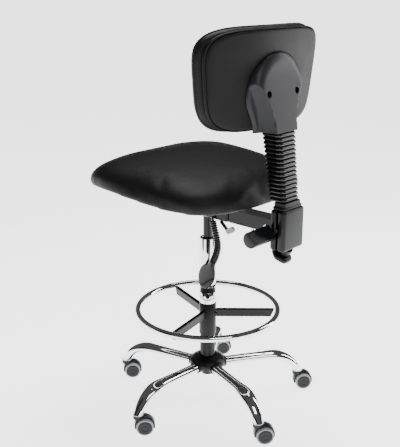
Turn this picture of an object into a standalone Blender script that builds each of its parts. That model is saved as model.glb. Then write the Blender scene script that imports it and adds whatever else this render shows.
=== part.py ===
"""Drafting chair with a gas-lift column, foot ring, five casters and an adjustable back.

Metres, +Z up. The sitter faces -Y and the sitter's left is +X. The floor is z = 0. The frame's
origin is on the floor at the middle of the chair's box, so the column stands a little off it.
"""

import math

import bmesh
import bpy
from mathutils import Matrix, Vector

# Column axis in the frame
COLUMN_X = -0.0125
COLUMN_Y = -0.0110
GAP = 0.0003

# Star base
LEGS = 5
FIRST_LEG_DEG = -72.85
HUB_BOTTOM_Z = 0.0800
HUB_R = 0.0550
HUB_TOP_Z = 0.1425
HUB_BORE_R = 0.0232
HUB_BORE_Z = 0.1062
LEG_ROOT_R = 0.0360
LEG_ROOT_Z = 0.1125
LEG_BEND_R = 0.1970
LEG_BEND_Z = 0.1190
LEG_ARC_R = 0.0950
LEG_END_DEG = 60.0
LEG_HALF_W = 0.0170
LEG_HALF_H = 0.0130
LEG_BULGE_W = 0.0050
LEG_BULGE_R = 0.2250
LEG_BULGE_RUN = 0.0650

# Casters
STEM_R = 0.2890
STEM_RADIUS = 0.0055
STEM_TOP_Z = 0.0700
PLUG_Z = 0.0582
PLUG_R = 0.0145
TRAIL = 0.0180
TRAIL_DEG = 138.0
WHEEL_R = 0.0250
WHEEL_SIDES = 16
WHEEL_IN = 0.0090
WHEEL_OUT = 0.0225
HOOD_R = 0.0295
HOOD_WALL = 0.0033
HOOD_HALF_W = 0.0125
WEB_HALF_W = 0.0085
AXLE_R = 0.0030

# Column and gas lift
TUBE_R = 0.0228
TUBE_BORE_R = 0.0205
TUBE_TOP_Z = 0.3647
CYLINDER_R = 0.0245
CYLINDER_TOP_Z = 0.5200
CYLINDER_BORE_R = 0.0148
PISTON_R = 0.0140
PISTON_Z = (0.1850, 0.6255)

# Foot ring
RING_R = 0.2095
RING_TUBE_R = 0.0090
RING_Z = 0.2930
SLEEVE_R = 0.0255
SLEEVE_Z = (0.2140, 0.3150)
COLLAR_R = 0.0239
COLLAR_Z = (0.3153, 0.3490)
ARM_Z = (0.2640, 0.2940)
ARM_WIDTH = 0.0130
ARM_ANGLES_DEG = (131.9, -108.1, 11.9)

# Seat
SEAT_MID_Z = 0.6963
SEAT_TILT_DEG = 4.8
SEAT_CENTRE_Y = -0.0396
SEAT_HALF_W = 0.2680
SEAT_HALF_D = 0.2528
SEAT_POWER = 3.63
SEAT_TAPER = 0.054
SEAT_DROOP = 0.0338
SEAT_CROWN = 0.0214
SEAT_TOP = 0.0356
SEAT_BOTTOM = 0.0234
BOARD_TOP = -0.0114
SEAT_GAP = 0.0018

# Seat mechanism
HOUSING_HALF_W = 0.0300
HOUSING_Y = (-0.0800, 0.1000)
HOUSING_BOTTOM_Z = 0.5900
PLATE_HALF = (0.0750, 0.1000)
PLATE_T = 0.0040
BAR_HALF_W = 0.0245
BAR_Z = (0.5910, 0.6290)
TILT_AXIS = (0.2800, 0.6100)
LUG_R = 0.0180
PIN_R = 0.0045
PIN_HALF_L = 0.0448

# Lock clip
CLIP_R = 0.0080

# Back bracket
BOX_HALF_W = 0.0460
BOX_Y = (0.2570, 0.3050)
BOX_SPLIT_Y = 0.2800
BOX_Z = (0.5530, 0.6650)
BOX_WALL = 0.0030
NECK_Z = (0.6653, 0.6830)
UPRIGHT_HALF_W = 0.0200
UPRIGHT_HALF_T = 0.0030
UPRIGHT_Z = (0.6400, 0.9300)
LEAN = -0.1400
LEAN_Y = 0.2727
LEAN_Z = 0.6600
BELLOWS_Z = (0.6834, 0.8630)
BELLOWS_RIBS = 5
BELLOWS_HALF = (0.0370, 0.0260)
HANDLE_CENTRE = (0.2655, 0.6035)
HANDLE_R = 0.0215
HANDLE_FLAT = 0.0080
HANDLE_LEAN_DEG = 45.0
HANDLE_X = (0.0470, 0.1390)
SHAFT_R = 0.0050
KNOB_TILT_DEG = 34.0
KNOB_DROP = 0.0285
KNOB_R = 0.0290

# Backrest
BACK_MID_Z = 0.9950
BACK_HALF_H = 0.1305
BACK_HALF_W = 0.2290
BACK_FLARE = 0.0165
BACK_POWER = 4.6
BACK_RECLINE_DEG = 4.68
BACK_CURVE = 0.8000
BACK_REAR_Y = 0.2312
PANEL_T = 0.0120
CUSHION_T = 0.0500
BACK_GAP = 0.0021
COVER_CENTRE_Z = 0.9570
COVER_R = 0.1070
COVER_Z = (0.8640, 1.0640)
COVER_NECK_HALF = 0.0750
COVER_GAP = 0.0020
COVER_SCREW_Z = 0.9630
TONGUE_Y = 0.2710
TONGUE_SLOPE = 0.19
TONGUE_HALF = 0.0440
TONGUE_FLARE = 0.24
DOME_RISE = 0.0140
SHOULDER_W = 0.0300
SKIRT_SHARE = 0.34
SKIRT_W = 0.0120
SCOOP_W = 0.0200
SCOOP_TOP_Z = 0.9960
SCOOP_RUN = 0.0450

# Gas-lift lever
LEVER_X = 0.0360
LEVER_PATH = ((0.0480, 0.6000), (0.0560, 0.5700), (0.0670, 0.5350), (0.0690, 0.5100), (0.0620, 0.4850))
LEVER_END = (0.0530, 0.4660)
SLEEVE_TUBE_R = 0.0105
GRIP_TIP = (0.0068, 0.3740)


# ---------------------------------------------------------------- scene helpers

def clear_scene():
    for old in list(bpy.data.objects):
        bpy.data.objects.remove(old, do_unlink=True)


def material(name, colour, roughness, metallic=0.0):
    made = bpy.data.materials.get(name) or bpy.data.materials.new(name)
    made.use_nodes = True
    shader = made.node_tree.nodes["Principled BSDF"]
    shader.inputs["Base Color"].default_value = (*colour, 1.0)
    shader.inputs["Roughness"].default_value = roughness
    shader.inputs["Metallic"].default_value = metallic
    return made


def empty(name, location=(0, 0, 0), rotation=(0, 0, 0), parent=None):
    made = bpy.data.objects.new(name, None)
    bpy.context.scene.collection.objects.link(made)
    made.location = location
    made.rotation_euler = rotation
    made.parent = parent
    return made


def solid(name, points, faces, finish, parent, location=(0, 0, 0), rotation=(0, 0, 0), smooth_deg=32.0):
    """A closed mesh object whose faces are turned outwards."""
    bm = bmesh.new()
    verts = [bm.verts.new(p) for p in points]
    for face in faces:
        bm.faces.new([verts[i] for i in face])
    bmesh.ops.remove_doubles(bm, verts=bm.verts, dist=1e-6)
    bmesh.ops.recalc_face_normals(bm, faces=bm.faces)
    mesh = bpy.data.meshes.new(name)
    bm.to_mesh(mesh)
    bm.free()
    mesh.shade_smooth()
    mesh.set_sharp_from_angle(angle=math.radians(smooth_deg))
    return place(name, mesh, finish, parent, location, rotation)


def place(name, mesh, finish, parent, location=(0, 0, 0), rotation=(0, 0, 0)):
    made = bpy.data.objects.new(name, mesh)
    bpy.context.scene.collection.objects.link(made)
    if not mesh.materials:
        mesh.materials.append(finish)
    made.parent = parent
    made.location = location
    made.rotation_euler = rotation
    return made


def rings_to_faces(count, sides, closed_along=False):
    """Quads between consecutive rings of points, with end caps unless the run closes on itself."""
    faces = []
    for ring in range(count if closed_along else count - 1):
        low = ring * sides
        high = ((ring + 1) % count) * sides
        for side in range(sides):
            after = (side + 1) % sides
            faces.append((low + side, low + after, high + after, high + side))
    if not closed_along:
        faces.append(tuple(range(sides)))
        faces.append(tuple((count - 1) * sides + side for side in range(sides)))
    return faces


def loft(name, rings, finish, parent, **options):
    points = [p for ring in rings for p in ring]
    return solid(name, points, rings_to_faces(len(rings), len(rings[0])), finish, parent, **options)


def loop(name, rings, finish, parent, **options):
    """A run of rings that ends where it starts, such as a hollow tube or a torus."""
    points = [p for ring in rings for p in ring]
    faces = rings_to_faces(len(rings), len(rings[0]), closed_along=True)
    return solid(name, points, faces, finish, parent, **options)


def circle(radius, z, sides, phase=0.0):
    steps = [phase + 2 * math.pi * i / sides for i in range(sides)]
    return [(radius * math.cos(a), radius * math.sin(a), z) for a in steps]


def turned(name, profile, sides, finish, parent, **options):
    """A solid turned from (radius, z) points, whose ends are flat caps."""
    return loft(name, [circle(r, z, sides) for r, z in profile], finish, parent, **options)


def turned_tube(name, profile, sides, finish, parent, **options):
    """A hollow piece turned from a closed (radius, z) outline."""
    return loop(name, [circle(r, z, sides) for r, z in profile], finish, parent, **options)


def rounded_rectangle(half_x, half_y, radius, corner_steps=2):
    """Points of a rectangle with round corners, counter-clockwise from the +X side."""
    points = []
    for corner, (sx, sy) in enumerate(((1, 1), (-1, 1), (-1, -1), (1, -1))):
        for step in range(corner_steps + 1):
            angle = math.radians(90 * corner + 90 * step / corner_steps)
            x = sx * (half_x - radius) + radius * math.cos(angle)
            y = sy * (half_y - radius) + radius * math.sin(angle)
            points.append((x, y))
    return points


def box(name, low, high, radius, finish, parent, chamfer=0.0, **options):
    """A block with rounded vertical corners and, if asked, chamfered top and bottom edges."""
    middle = [(low[i] + high[i]) / 2 for i in range(3)]
    half = [(high[i] - low[i]) / 2 for i in range(3)]
    levels = [(low[2], 0.0), (high[2], 0.0)]
    if chamfer:
        levels = [(low[2], chamfer), (low[2] + chamfer, 0.0), (high[2] - chamfer, 0.0), (high[2], chamfer)]
    rings = []
    for z, inset in levels:
        outline = rounded_rectangle(half[0] - inset, half[1] - inset, max(radius - inset, 0.0006))
        rings.append([(middle[0] + x, middle[1] + y, z) for x, y in outline])
    return loft(name, rings, finish, parent, **options)


def helper(made):
    made.hide_render = True
    made.display_type = "WIRE"
    return made


def combine(target, other, operation):
    """Adds the other shape to the target, or takes it away."""
    change = target.modifiers.new(f"{operation.lower()}_{other.name}"[:60], "BOOLEAN")
    change.operation = operation
    change.solver = "EXACT"
    change.object = helper(other)


def baked_mesh(made, smooth_deg=32.0):
    """The object's mesh with its modifiers applied, for copies to share."""
    bpy.context.view_layer.update()
    graph = bpy.context.evaluated_depsgraph_get()
    mesh = bpy.data.meshes.new_from_object(made.evaluated_get(graph))
    mesh.shade_smooth()
    mesh.set_sharp_from_angle(angle=math.radians(smooth_deg))
    return mesh


def eased(share):
    share = max(0.0, min(1.0, share))
    return share * share * (3 - 2 * share)


def superellipse(power, sides):
    """Unit points of a rounded square, counter-clockwise from +X."""
    points = []
    for i in range(sides):
        angle = 2 * math.pi * i / sides
        c, s = math.cos(angle), math.sin(angle)
        points.append((math.copysign(abs(c) ** (2 / power), c), math.copysign(abs(s) ** (2 / power), s)))
    return points


# ---------------------------------------------------------------- star base

def leg_stations(steps=5):
    """(radius, height, tangent angle) along a leg: a nearly level run, then an arc down."""
    rise = math.atan2(LEG_BEND_Z - LEG_ROOT_Z, LEG_BEND_R - LEG_ROOT_R)
    stations = [(LEG_ROOT_R, LEG_ROOT_Z, rise), (LEG_BEND_R * 0.6, LEG_ROOT_Z + 0.6 * 0.0055, rise)]
    for step in range(steps + 1):
        turn = rise - (rise + math.radians(LEG_END_DEG)) * step / steps
        radius = LEG_BEND_R + LEG_ARC_R * (math.sin(rise) - math.sin(turn))
        height = LEG_BEND_Z + LEG_ARC_R * (math.cos(turn) - math.cos(rise))
        stations.append((radius, height, turn))
    return stations


def leg_half_width(radius):
    """A leg is broadest over its bend."""
    return LEG_HALF_W + LEG_BULGE_W * eased(1 - abs(radius - LEG_BULGE_R) / LEG_BULGE_RUN)


def leg_ring(radius, height, tangent, grow=0.0, sides=12):
    """An oval section across a leg that runs along +X at this tangent angle."""
    points = []
    for i in range(sides):
        angle = 2 * math.pi * i / sides
        across = (leg_half_width(radius) + grow) * math.cos(angle)
        up = (LEG_HALF_H + grow) * math.sin(angle)
        points.append((radius - up * math.sin(tangent), across, height + up * math.cos(tangent)))
    return points


def leg_angle(number):
    return math.radians(FIRST_LEG_DEG + 360 / LEGS * number)


def make_hub(root, plastic):
    profile = [
        (0.0150, HUB_BOTTOM_Z),
        (0.0185, HUB_BOTTOM_Z),
        (0.0195, HUB_BOTTOM_Z + 0.0015),
        (0.0195, 0.0975),
        (0.0400, 0.0990),
        (HUB_R, 0.1050),
        (HUB_R, 0.1220),
        (0.0480, 0.1310),
        (0.0390, 0.1380),
        (0.0300, HUB_TOP_Z - 0.0008),
        (HUB_BORE_R + 0.0010, HUB_TOP_Z),
        (HUB_BORE_R, HUB_TOP_Z - 0.0008),
        (HUB_BORE_R, HUB_BORE_Z),
        (0.0150, HUB_BORE_Z),
    ]
    hub = turned("base_hub", profile, 24, plastic, root)
    rise = math.atan2(LEG_BEND_Z - LEG_ROOT_Z, LEG_BEND_R - LEG_ROOT_R)
    for number in range(LEGS):
        for kind, operation, grow, reach in (("boss", "UNION", 0.0035, (0.030, 0.0600)),
                                             ("socket", "DIFFERENCE", 0.0004, (LEG_ROOT_R - GAP, 0.0800))):
            heights = [LEG_ROOT_Z + (r - LEG_ROOT_R) * math.tan(rise) for r in reach]
            rings = [leg_ring(r, z, rise, grow) for r, z in zip(reach, heights)]
            tool = loft(f"{kind}_{number + 1}", rings, plastic, root, rotation=(0, 0, leg_angle(number)))
            combine(hub, tool, operation)
    return hub


def make_leg(number, root, chrome, shared):
    turn = (0, 0, leg_angle(number))
    name = f"base_leg_{number + 1}"
    if shared:
        return place(name, shared, chrome, root, rotation=turn)
    rings = [leg_ring(*station) for station in leg_stations()]
    return loft(name, rings, chrome, root, rotation=turn, smooth_deg=40)


def make_plug(number, root, plastic):
    """The tapered insert between a leg's slanted end and the caster's level boss."""
    radius, height, tangent = leg_stations()[-1]
    step = (math.cos(tangent), math.sin(tangent))
    first = (radius + GAP * step[0], height + GAP * step[1])
    second = (radius + 0.0030 * step[0], height + 0.0030 * step[1])
    sides = 12
    level = [(STEM_R + PLUG_R * math.sin(a), PLUG_R * math.cos(a), PLUG_Z)
             for a in (2 * math.pi * i / sides for i in range(sides))]
    bore = [(STEM_R + (x - STEM_R) * 0.0060 / PLUG_R, y * 0.0060 / PLUG_R, PLUG_Z) for x, y, z in level]
    deep = [(x, y, STEM_TOP_Z + GAP) for x, y, z in bore]
    rings = [leg_ring(*first, tangent), leg_ring(*second, tangent), level, bore, deep]
    name = f"leg_plug_{number + 1}"
    return loft(name, rings, plastic, root, rotation=(0, 0, leg_angle(number)), smooth_deg=40)


# ---------------------------------------------------------------- casters

def across_axle(radius, y, sides, phase=0.0):
    """A ring round the axle, which runs along Y through (TRAIL, WHEEL_R)."""
    return [(TRAIL + x, y, WHEEL_R + z) for x, z, _ in circle(radius, 0, sides, phase)]


def make_hood_mesh(root, plastic):
    """Hood, centre web, axle pin and swivel stem in one moulding, with the stem on the Z axis."""
    web = loft("hood_web", [across_axle(HOOD_R, y, 24) for y in (-WEB_HALF_W, WEB_HALF_W)], plastic, root)
    arch = loop(
        "hood_arch",
        [across_axle(r, y, 24) for r, y in (
            (HOOD_R - HOOD_WALL, -HOOD_HALF_W),
            (HOOD_R, -HOOD_HALF_W),
            (HOOD_R, HOOD_HALF_W),
            (HOOD_R - HOOD_WALL, HOOD_HALF_W),
        )],
        plastic, root)
    boss = turned("hood_boss", [(0.0145, 0.0240), (0.0145, 0.0565), (0.0135, 0.0575)], 14, plastic, root)
    stem = turned("hood_stem", [(STEM_RADIUS, 0.0500), (STEM_RADIUS, STEM_TOP_Z)], 8, plastic, root)
    pin_end = WHEEL_OUT - GAP
    pin = loft("hood_pin", [across_axle(AXLE_R, y, 8) for y in (-pin_end, pin_end)], plastic, root)
    combine(web, arch, "UNION")
    combine(web, boss, "UNION")
    room_r = WHEEL_R + 0.0009
    for side, (near, far) in enumerate(((WEB_HALF_W, 0.0300), (-0.0300, -WEB_HALF_W))):
        rings = [across_axle(room_r, y, 24) for y in (near, far)]
        combine(web, loft(f"hood_room_{side}", rings, plastic, root), "DIFFERENCE")
    floor_cut = box("hood_floor_cut", (-0.05, -0.04, -0.03), (0.08, 0.04, 0.0170), 0.001, plastic, root)
    combine(web, floor_cut, "DIFFERENCE")
    combine(web, pin, "UNION")
    combine(web, stem, "UNION")
    mesh = baked_mesh(web)
    helper(web)
    return mesh


def make_wheel_mesh(root, tread):
    """One wheel with its own origin at the stem axis on the floor, as the hood has."""
    ring_r = WHEEL_R / math.cos(math.pi / WHEEL_SIDES)
    profile = (
        (AXLE_R + GAP, WHEEL_IN),
        (ring_r, WHEEL_IN),
        (ring_r, WHEEL_OUT - 0.0020),
        (ring_r - 0.0030, WHEEL_OUT),
        (AXLE_R + GAP, WHEEL_OUT),
    )
    phase = math.pi / WHEEL_SIDES
    rings = [across_axle(r, y, WHEEL_SIDES, phase) for r, y in profile]
    wheel = loop("wheel_pattern", rings, tread, root)
    helper(wheel)
    return wheel.data


def make_mirror_wheel_mesh(mesh):
    """The same wheel on the other side of the centre web."""
    made = mesh.copy()
    made.transform(Matrix.Scale(-1, 4, Vector((0, 1, 0))))
    made.flip_normals()
    return made


def make_casters(root, plastic, tread):
    hood_mesh = make_hood_mesh(root, plastic)
    left_mesh = make_wheel_mesh(root, tread)
    right_mesh = make_mirror_wheel_mesh(left_mesh)
    for number in range(LEGS):
        angle = leg_angle(number)
        stem = (STEM_R * math.cos(angle), STEM_R * math.sin(angle), 0)
        swivel = empty(f"caster_swivel_{number + 1}", stem, (0, 0, math.radians(TRAIL_DEG)), root)
        place(f"caster_hood_{number + 1}", hood_mesh, plastic, swivel)
        place(f"caster_wheel_{number + 1}a", left_mesh, tread, swivel)
        place(f"caster_wheel_{number + 1}b", right_mesh, tread, swivel)


# ---------------------------------------------------------------- column and gas lift

def make_column(root, lift, finishes):
    tube = [(TUBE_R, HUB_BORE_Z + GAP), (TUBE_R, TUBE_TOP_Z), (TUBE_BORE_R, TUBE_TOP_Z),
            (TUBE_BORE_R, HUB_BORE_Z + GAP)]
    turned_tube("lower_column_tube", tube, 24, finishes["plastic"], root)
    cylinder = [
        (0.0100, 0.1250),
        (TUBE_BORE_R - GAP, 0.1250),
        (TUBE_BORE_R - GAP, TUBE_TOP_Z + GAP),
        (CYLINDER_R, TUBE_TOP_Z + GAP),
        (CYLINDER_R, CYLINDER_TOP_Z - 0.0015),
        (CYLINDER_R - 0.0015, CYLINDER_TOP_Z),
        (CYLINDER_BORE_R, CYLINDER_TOP_Z),
        (CYLINDER_BORE_R, 0.1400),
        (0.0100, 0.1400),
    ]
    turned("gas_cylinder", cylinder, 24, finishes["chrome"], root)
    piston = [(PISTON_R - 0.001, PISTON_Z[0]), (PISTON_R, PISTON_Z[0] + 0.001),
              (PISTON_R, PISTON_Z[1] - 0.001), (PISTON_R - 0.001, PISTON_Z[1])]
    turned("piston_rod", piston, 16, finishes["steel"], lift)


# ---------------------------------------------------------------- foot ring

def make_arm(number, parent, finish):
    """A flat bar on edge from the sleeve to the hoop, its lower outer corner cut off."""
    start = SLEEVE_R + GAP
    end = RING_R - RING_TUBE_R - GAP
    edge = 0.0022
    half = ARM_WIDTH / 2
    outline = [(half, ARM_Z[0] + edge), (half, ARM_Z[1] - edge), (half - edge, ARM_Z[1]),
               (edge - half, ARM_Z[1]), (-half, ARM_Z[1] - edge), (-half, ARM_Z[0] + edge),
               (edge - half, ARM_Z[0]), (half - edge, ARM_Z[0])]
    cut = 0.0120
    rings = [[(start, y, z) for y, z in outline]]
    rings.append([(end - cut * (ARM_Z[1] - z) / (ARM_Z[1] - ARM_Z[0]), y, z) for y, z in outline])
    turn = (0, 0, math.radians(ARM_ANGLES_DEG[number]))
    return loft(f"foot_ring_arm_{number + 1}", rings, finish, parent, rotation=turn)


def make_foot_ring(parent, finishes):
    inner = TUBE_R + 0.0004
    sleeve = [(inner, SLEEVE_Z[0]), (SLEEVE_R, SLEEVE_Z[0]), (SLEEVE_R, SLEEVE_Z[1]), (inner, SLEEVE_Z[1])]
    turned_tube("foot_ring_sleeve", sleeve, 24, finishes["plastic"], parent)
    collar = [(inner, COLLAR_Z[0]), (COLLAR_R, COLLAR_Z[0]), (COLLAR_R, COLLAR_Z[1]), (inner, COLLAR_Z[1])]
    ring = turned_tube("foot_ring_collar", collar, 24, finishes["chrome"], parent)
    slit = box("collar_slit", (0.0150, -0.0006, 0.3), (0.0300, 0.0006, 0.36), 0.0001, finishes["chrome"],
               parent, rotation=(0, 0, math.radians(60)))
    combine(ring, slit, "DIFFERENCE")
    for number in range(len(ARM_ANGLES_DEG)):
        make_arm(number, parent, finishes["plastic"])
    rings = []
    for step in range(40):
        angle = 2 * math.pi * step / 40
        section = circle(RING_TUBE_R, 0, 8)
        rings.append([((RING_R + x) * math.cos(angle), (RING_R + x) * math.sin(angle), RING_Z + y)
                      for x, y, _ in section])
    loop("foot_ring_hoop", rings, finishes["chrome"], parent, smooth_deg=60)


# ---------------------------------------------------------------- seat

def seat_drop(along_front):
    """How far the seat falls at its front edge: along_front is 1 there and -1 at the back."""
    over = max(0.0, (along_front - 0.3) / 0.7)
    return SEAT_DROOP * over * over


def seat_ring(scale, z, crown=0.0, sides=28):
    """A ring of the seat's outline in the tilted seat frame, whose plane is the seat's middle."""
    points = []
    for x, y in superellipse(SEAT_POWER, sides):
        front = -y
        wide = SEAT_HALF_W * scale * x * (1 + SEAT_TAPER * front)
        deep = SEAT_CENTRE_Y + SEAT_HALF_D * scale * y
        height = z + crown * (1 - scale * scale) - seat_drop(front * scale)
        points.append((wide, deep, height))
    return points


def make_seat(seat, finishes):
    board = [seat_ring(s, z) for s, z in (
        (0.30, -SEAT_BOTTOM), (0.60, -SEAT_BOTTOM), (0.91, -SEAT_BOTTOM), (0.93, -SEAT_BOTTOM + 0.002),
        (0.93, BOARD_TOP), (0.60, BOARD_TOP), (0.30, BOARD_TOP))]
    loft("seat_board", board, finishes["plastic"], seat)
    base = BOARD_TOP + SEAT_GAP
    cushion = [seat_ring(s, base) for s in (0.30, 0.60, 0.93)]
    cushion.append(seat_ring(0.985, base + 0.003))
    cushion += [seat_ring(s, z * SEAT_TOP, SEAT_CROWN) for s, z in (
        (1.0, 0.05), (0.985, 0.45), (0.95, 0.75), (0.88, 0.93), (0.70, 1.0), (0.45, 1.0), (0.20, 1.0))]
    loft("seat_cushion", cushion, finishes["leather"], seat, smooth_deg=50)


def plate_middle(y):
    """Height of the middle of the seat plate's thickness in the upright frame."""
    tilt = math.radians(SEAT_TILT_DEG)
    return SEAT_MID_Z - y * math.tan(tilt) - (SEAT_BOTTOM + PLATE_T / 2) / math.cos(tilt)


def make_mechanism(frame, seat, finishes):
    """The housing on the gas lift and the plate under the seat, welded together."""
    mid_y = (HOUSING_Y[0] + HOUSING_Y[1]) / 2
    half_y = (HOUSING_Y[1] - HOUSING_Y[0]) / 2
    rings = []
    for inset, level in ((0.004, 0.0), (0.0, 0.004), (0.0, 1.0)):
        outline = rounded_rectangle(HOUSING_HALF_W - inset, half_y - inset, 0.008)
        ring = []
        for x, y in outline:
            z = HOUSING_BOTTOM_Z + level if level < 1.0 else plate_middle(mid_y + y)
            ring.append((x, mid_y + y, z))
        rings.append(ring)
    housing = loft("seat_mechanism", rings, finishes["steel"], frame)
    plate_top = -SEAT_BOTTOM - GAP
    plate = box("seat_plate", (-PLATE_HALF[0], -PLATE_HALF[1], plate_top - PLATE_T),
                (PLATE_HALF[0], PLATE_HALF[1], plate_top), 0.015, finishes["steel"], seat)
    combine(housing, plate, "UNION")
    bore = turned("piston_socket", [(PISTON_R + 0.0004, 0.58), (PISTON_R + 0.0004, PISTON_Z[1] + GAP)], 16,
                  finishes["steel"], frame)
    combine(housing, bore, "DIFFERENCE")


def make_back_bar(frame, finishes):
    """The bar from the mechanism to the back bracket, ending in a round lug on the tilt axis."""
    y0 = HOUSING_Y[1] + GAP
    axis_y, axis_z = TILT_AXIS
    outline = [(y0, BAR_Z[0])]
    outline.append((axis_y - 0.030, BAR_Z[0]))
    for step in range(9):
        angle = math.radians(-80 + 160 * step / 8)
        outline.append((axis_y + LUG_R * math.cos(angle), axis_z + LUG_R * math.sin(angle)))
    outline.append((axis_y - 0.030, BAR_Z[1]))
    outline.append((y0, BAR_Z[1]))
    rings = [[(x, y, z) for y, z in outline] for x in (-BAR_HALF_W, BAR_HALF_W)]
    bar = loft("back_bar", rings, finishes["steel"], frame)
    combine(bar, across_back("pin_bore", TILT_AXIS, PIN_R + GAP, (-0.05, 0.05), finishes["steel"], frame),
            "DIFFERENCE")


def rod_between(start, end, radius, sides=12):
    """Two rings round a straight line between two points."""
    start, end = Vector(start), Vector(end)
    turn = (end - start).to_track_quat("Z", "Y")
    ring = [turn @ Vector(p) for p in circle(radius, 0, sides)]
    return [[tuple(start + p) for p in ring], [tuple(end + p) for p in ring]]


def make_lock_screw(frame, finishes):
    rings = rod_between((0.0160, 0.0640, 0.5840), (0.0260, 0.1020, 0.5620), 0.0050)
    loft("bar_lock_screw", rings, finishes["steel"], frame)
    rings = []
    for x in (0.0370, 0.0470):
        ring = []
        for centre, first in (((0.1150, 0.5720), 125.0), ((0.1270, 0.5790), -55.0)):
            for step in range(7):
                angle = math.radians(first + 180 * step / 6)
                ring.append((x, centre[0] + CLIP_R * math.cos(angle), centre[1] + CLIP_R * math.sin(angle)))
        rings.append(ring)
    loft("bar_lock_clip", rings, finishes["grey"], frame)


# ---------------------------------------------------------------- gas-lift lever

def lever_path(count):
    """Points down the lever's bent sleeve, on a smooth curve through its route."""
    route = [Vector((LEVER_X, y, z)) for y, z in LEVER_PATH + (LEVER_END,)]
    points = []
    spans = len(route) - 1
    for i in range(count):
        t = spans * i / (count - 1)
        k = min(int(t), spans - 1)
        u = t - k
        p0, p1, p2, p3 = (route[max(0, min(spans, k + j))] for j in (-1, 0, 1, 2))
        points.append(0.5 * ((2 * p1) + (p2 - p0) * u + (2 * p0 - 5 * p1 + 4 * p2 - p3) * u * u
                             + (3 * p1 - p0 - 3 * p2 + p3) * u ** 3))
    return points


def ring_at(path, index, radius, sides=8):
    """A ring across a path that lies in a plane of constant X."""
    tangent = (path[min(index + 1, len(path) - 1)] - path[max(index - 1, 0)]).normalized()
    side = Vector((1, 0, 0))
    other = tangent.cross(side)
    centre = path[index]
    ring = []
    for i in range(sides):
        angle = 2 * math.pi * i / sides
        ring.append(tuple(centre + radius * (math.cos(angle) * side + math.sin(angle) * other)))
    return ring


def make_lift_lever(lever, finishes):
    path = lever_path(9)
    wall = 0.0025
    outside = [ring_at(path, i, SLEEVE_TUBE_R) for i in range(1, 9)]
    inside = [ring_at(path, i, SLEEVE_TUBE_R - wall) for i in range(1, 9)]
    loop("lift_lever_sleeve", outside + inside[::-1], finishes["rubber"], lever, smooth_deg=50)
    rod = [ring_at(path, i, 0.0040, 6) for i in range(9)]
    loft("lift_lever_rod", rod, finishes["steel"], lever, smooth_deg=50)
    top = Vector((LEVER_X, *LEVER_END)) + 0.0008 * (path[-1] - path[-2]).normalized()
    tip = Vector((LEVER_X, *GRIP_TIP))
    along = (tip - top).normalized()
    across = along.cross(Vector((1, 0, 0))).normalized()
    length = (tip - top).length
    rings = []
    for share, half_w, half_t in ((0.0, 0.0105, 0.0095), (0.14, 0.0130, 0.0085), (0.30, 0.0240, 0.0068),
                                  (0.50, 0.0300, 0.0058), (0.72, 0.0270, 0.0050), (0.90, 0.0165, 0.0045),
                                  (1.0, 0.0060, 0.0030)):
        centre = top + along * (length * share)
        ring = []
        for i in range(14):
            angle = 2 * math.pi * i / 14
            offset = half_w * math.cos(angle) * across + half_t * math.sin(angle) * Vector((1, 0, 0))
            ring.append(tuple(centre + offset))
        rings.append(ring)
    loft("lift_lever_grip", rings, finishes["gloss"], lever, smooth_deg=50)


# ---------------------------------------------------------------- back bracket

def lean_y(z):
    """Y of the leaning line that the upright and the bellows follow."""
    return LEAN_Y + LEAN * (z - LEAN_Z)


def leaning_block(name, half_x, half_y, z0, z1, finish, parent, **options):
    rings = []
    for z in (z0, z1):
        rings.append([(x, lean_y(z) + y, z) for x, y in rounded_rectangle(half_x, half_y, 0.0008, 1)])
    return loft(name, rings, finish, parent, **options)


def across_back(name, centre, radius, span, finish, parent, sides=16):
    """A round bar along X through a (Y, Z) centre."""
    rings = [[(x, centre[0] + a, centre[1] + b) for a, b, _ in circle(radius, 0, sides)] for x in span]
    return loft(name, rings, finish, parent)


def make_bracket_shells(bracket, finishes):
    parts = (("bracket_cover_front", BOX_Y[0], BOX_SPLIT_Y - GAP),
             ("bracket_cover_rear", BOX_SPLIT_Y + GAP, BOX_Y[1]))
    for name, near, far in parts:
        shell = box(name, (-BOX_HALF_W, near, BOX_Z[0]), (BOX_HALF_W, far, BOX_Z[1]), 0.004,
                    finishes["plastic"], bracket, chamfer=0.003)
        front = name.endswith("front")
        hollow_y = (near + BOX_WALL, far + 0.01) if front else (near - 0.01, far - BOX_WALL)
        hollow = box(f"hollow_{name}", (-BOX_HALF_W + BOX_WALL, hollow_y[0], BOX_Z[0] + BOX_WALL),
                     (BOX_HALF_W - BOX_WALL, hollow_y[1], BOX_Z[1] - BOX_WALL), 0.001,
                     finishes["plastic"], bracket)
        combine(shell, hollow, "DIFFERENCE")
        seat_x = PIN_HALF_L + GAP
        pin_seat = across_back(f"pin_seat_{name}", TILT_AXIS, PIN_R + GAP, (-seat_x, seat_x),
                               finishes["plastic"], bracket)
        combine(shell, pin_seat, "DIFFERENCE")
        if not front:
            continue
        window = box("bar_window", (-BAR_HALF_W - 0.003, near - 0.01, 0.5700),
                     (BAR_HALF_W + 0.003, far + 0.01, 0.6500), 0.001, finishes["plastic"], bracket)
        combine(shell, window, "DIFFERENCE")
        top = box("upright_window", (-UPRIGHT_HALF_W - 0.0015, 0.2660, 0.6500),
                  (UPRIGHT_HALF_W + 0.0015, 0.2900, 0.6800), 0.001, finishes["plastic"], bracket)
        combine(shell, top, "DIFFERENCE")
        combine(shell, across_back("shaft_hole", HANDLE_CENTRE, SHAFT_R + 0.0006, (0.0350, 0.0550),
                                   finishes["plastic"], bracket), "DIFFERENCE")
    across_back("back_pivot_pin", TILT_AXIS, PIN_R, (-PIN_HALF_L, PIN_HALF_L), finishes["screw"], bracket)


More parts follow.
